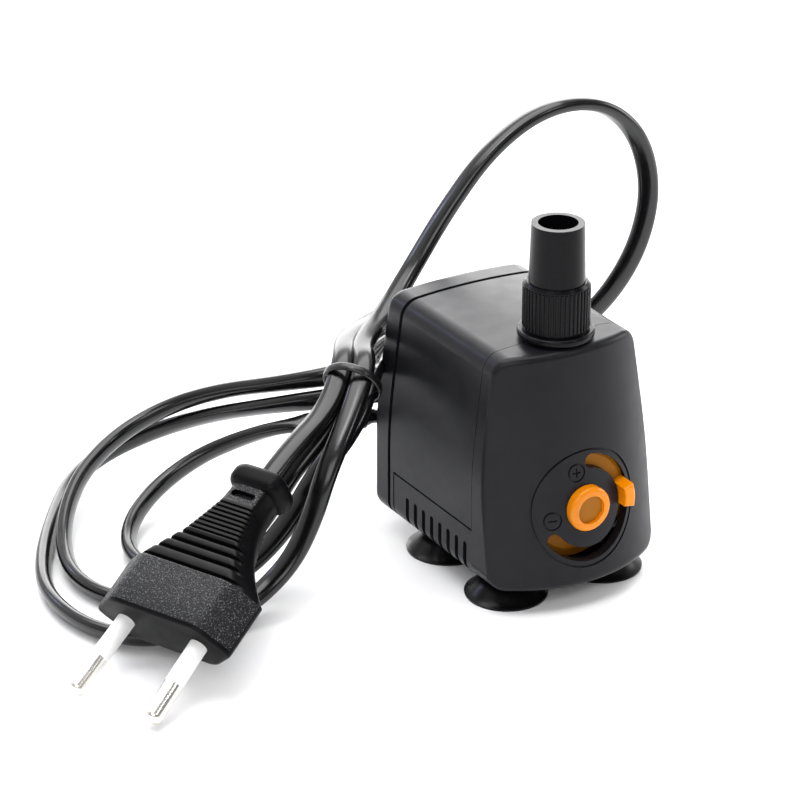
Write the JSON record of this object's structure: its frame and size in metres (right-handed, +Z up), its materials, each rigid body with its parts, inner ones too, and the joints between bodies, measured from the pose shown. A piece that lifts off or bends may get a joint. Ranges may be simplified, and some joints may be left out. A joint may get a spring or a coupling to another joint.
{
  "type": "fountain submersible pump",
  "caption": "Small submersible fountain pump with a charcoal casing on suction cups, an orange flow dial, an upright hose outlet and a tied flat mains lead with a two-pin plug.",
  "frame": {"origin": "on the floor under the middle of the pump, which stands on its four suction cups", "axes": "+Z up along the outlet, -Y towards the flow dial, +X to the right seen from the dial's side"},
  "size_m": [0.1751, 0.1082, 0.0865],
  "materials": {
    "casing_plastic": "satin charcoal ABS, finely moulded",
    "seal_rubber": "black moulded seal",
    "orange_plastic": "glossy orange",
    "cup_rubber": "smooth glossy black",
    "lead_rubber": "semi-gloss black PVC",
    "plug_plastic": "black, spark-textured top and smooth sides",
    "sleeve_plastic": "white insulating sleeve",
    "pin_metal": "nickel-plated brass",
    "shaft_metal": "ground stainless",
    "core_steel": "electrical steel laminations",
    "copper": "enamelled copper",
    "magnet_ferrite": "dark ferrite",
    "white_plastic": "natural moulded plastic",
    "resin": "cast black resin"
  },
  "bodies": {
    "pump": {"chamber_seal": "seal_rubber", "coil_bobbin_left": "white_plastic", "coil_bobbin_right": "white_plastic", "coil_winding_left": "copper", "coil_winding_right": "copper", "cord_tie": "lead_rubber", "front_bush": "seal_rubber", "intake_tray": "casing_plastic", "lead_wire_left": "lead_rubber", "lead_wire_right": "lead_rubber", "motor_housing": "casing_plastic", "outlet_o_ring": "seal_rubber", "plug_body": "plug_plastic", "plug_pin_left": "pin_metal", "plug_pin_right": "pin_metal", "plug_sleeve_left": "sleeve_plastic", "plug_sleeve_right": "sleeve_plastic", "potting_resin": "resin", "power_cord": "lead_rubber", "pump_chamber": "casing_plastic", "rear_bush": "seal_rubber", "rear_cover": "casing_plastic", "rear_seal": "seal_rubber", "rotor_shaft": "shaft_metal", "stator_core": "core_steel", "strain_relief": "lead_rubber", "suction_cup_front_left": "cup_rubber", "suction_cup_front_right": "cup_rubber", "suction_cup_rear_left": "cup_rubber", "suction_cup_rear_right": "cup_rubber", "thermal_fuse": "white_plastic"},
    "cover": {"front_cover": "casing_plastic"},
    "dial": {"regulator": "orange_plastic"},
    "outlet": {"outlet_adaptor": "casing_plastic"},
    "rotor": {"impeller": "white_plastic", "rotor_magnet": "magnet_ferrite"}
  },
  "joints": [
    {"name": "front_cover_slide", "type": "slide", "parent": "pump", "child": "cover", "axis": [0, -1, 0], "range_m": [0, 0.012]},
    {"name": "regulator_turn", "type": "hinge", "parent": "cover", "child": "dial", "pos_m": [0, -0.02, 0.0223], "axis": [0, -1, 0], "range_deg": [-133, 62]},
    {"name": "outlet_swivel", "type": "hinge", "parent": "pump", "child": "outlet", "pos_m": [0, -0.012, 0.06], "axis": [0, 0, 1], "continuous": true},
    {"name": "rotor_spin", "type": "hinge", "parent": "pump", "child": "rotor", "pos_m": [0, 0, 0.0223], "axis": [0, -1, 0], "continuous": true}
  ]
}
